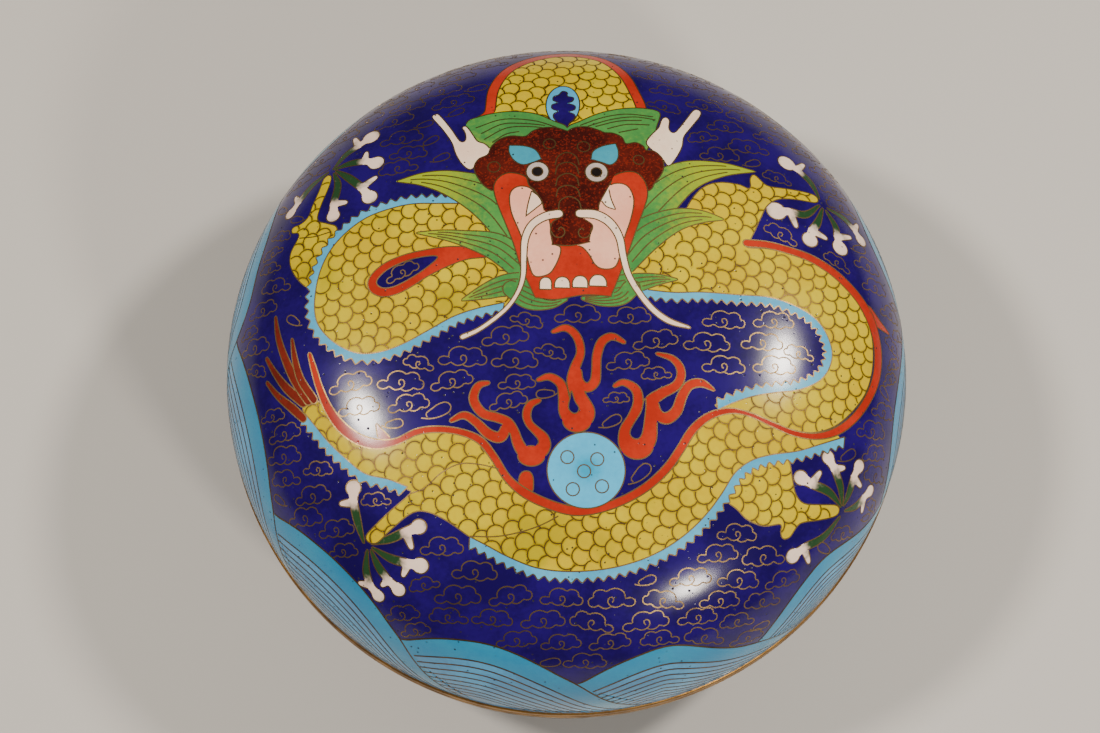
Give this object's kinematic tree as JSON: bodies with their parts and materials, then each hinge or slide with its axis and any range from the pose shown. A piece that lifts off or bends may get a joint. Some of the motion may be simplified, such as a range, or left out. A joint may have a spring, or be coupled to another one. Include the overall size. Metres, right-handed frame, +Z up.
{
  "type": "cloisonne enamel box",
  "caption": "Round lidded box, a domed lid on a shallow footed bowl, enamelled in wire cells with a dragon, clouds and waves.",
  "frame": {"origin": "on the box's axis, at the surface that the foot ring stands on", "axes": "+Z up along the axis of the turned box; -Y is the side that the dragon's chin points to"},
  "size_m": [0.1808, 0.1808, 0.0945],
  "materials": {
    "enamel": "polished vitreous enamel on copper, cobalt ground with coloured wire cells",
    "gilt_brass": "worn gilt brass"
  },
  "bodies": {
    "root": {"lid_shell": "enamel", "lid_rim": "gilt_brass", "bowl_shell": "enamel", "bowl_rim": "gilt_brass", "foot_ring": "gilt_brass"}
  },
  "joints": []
}
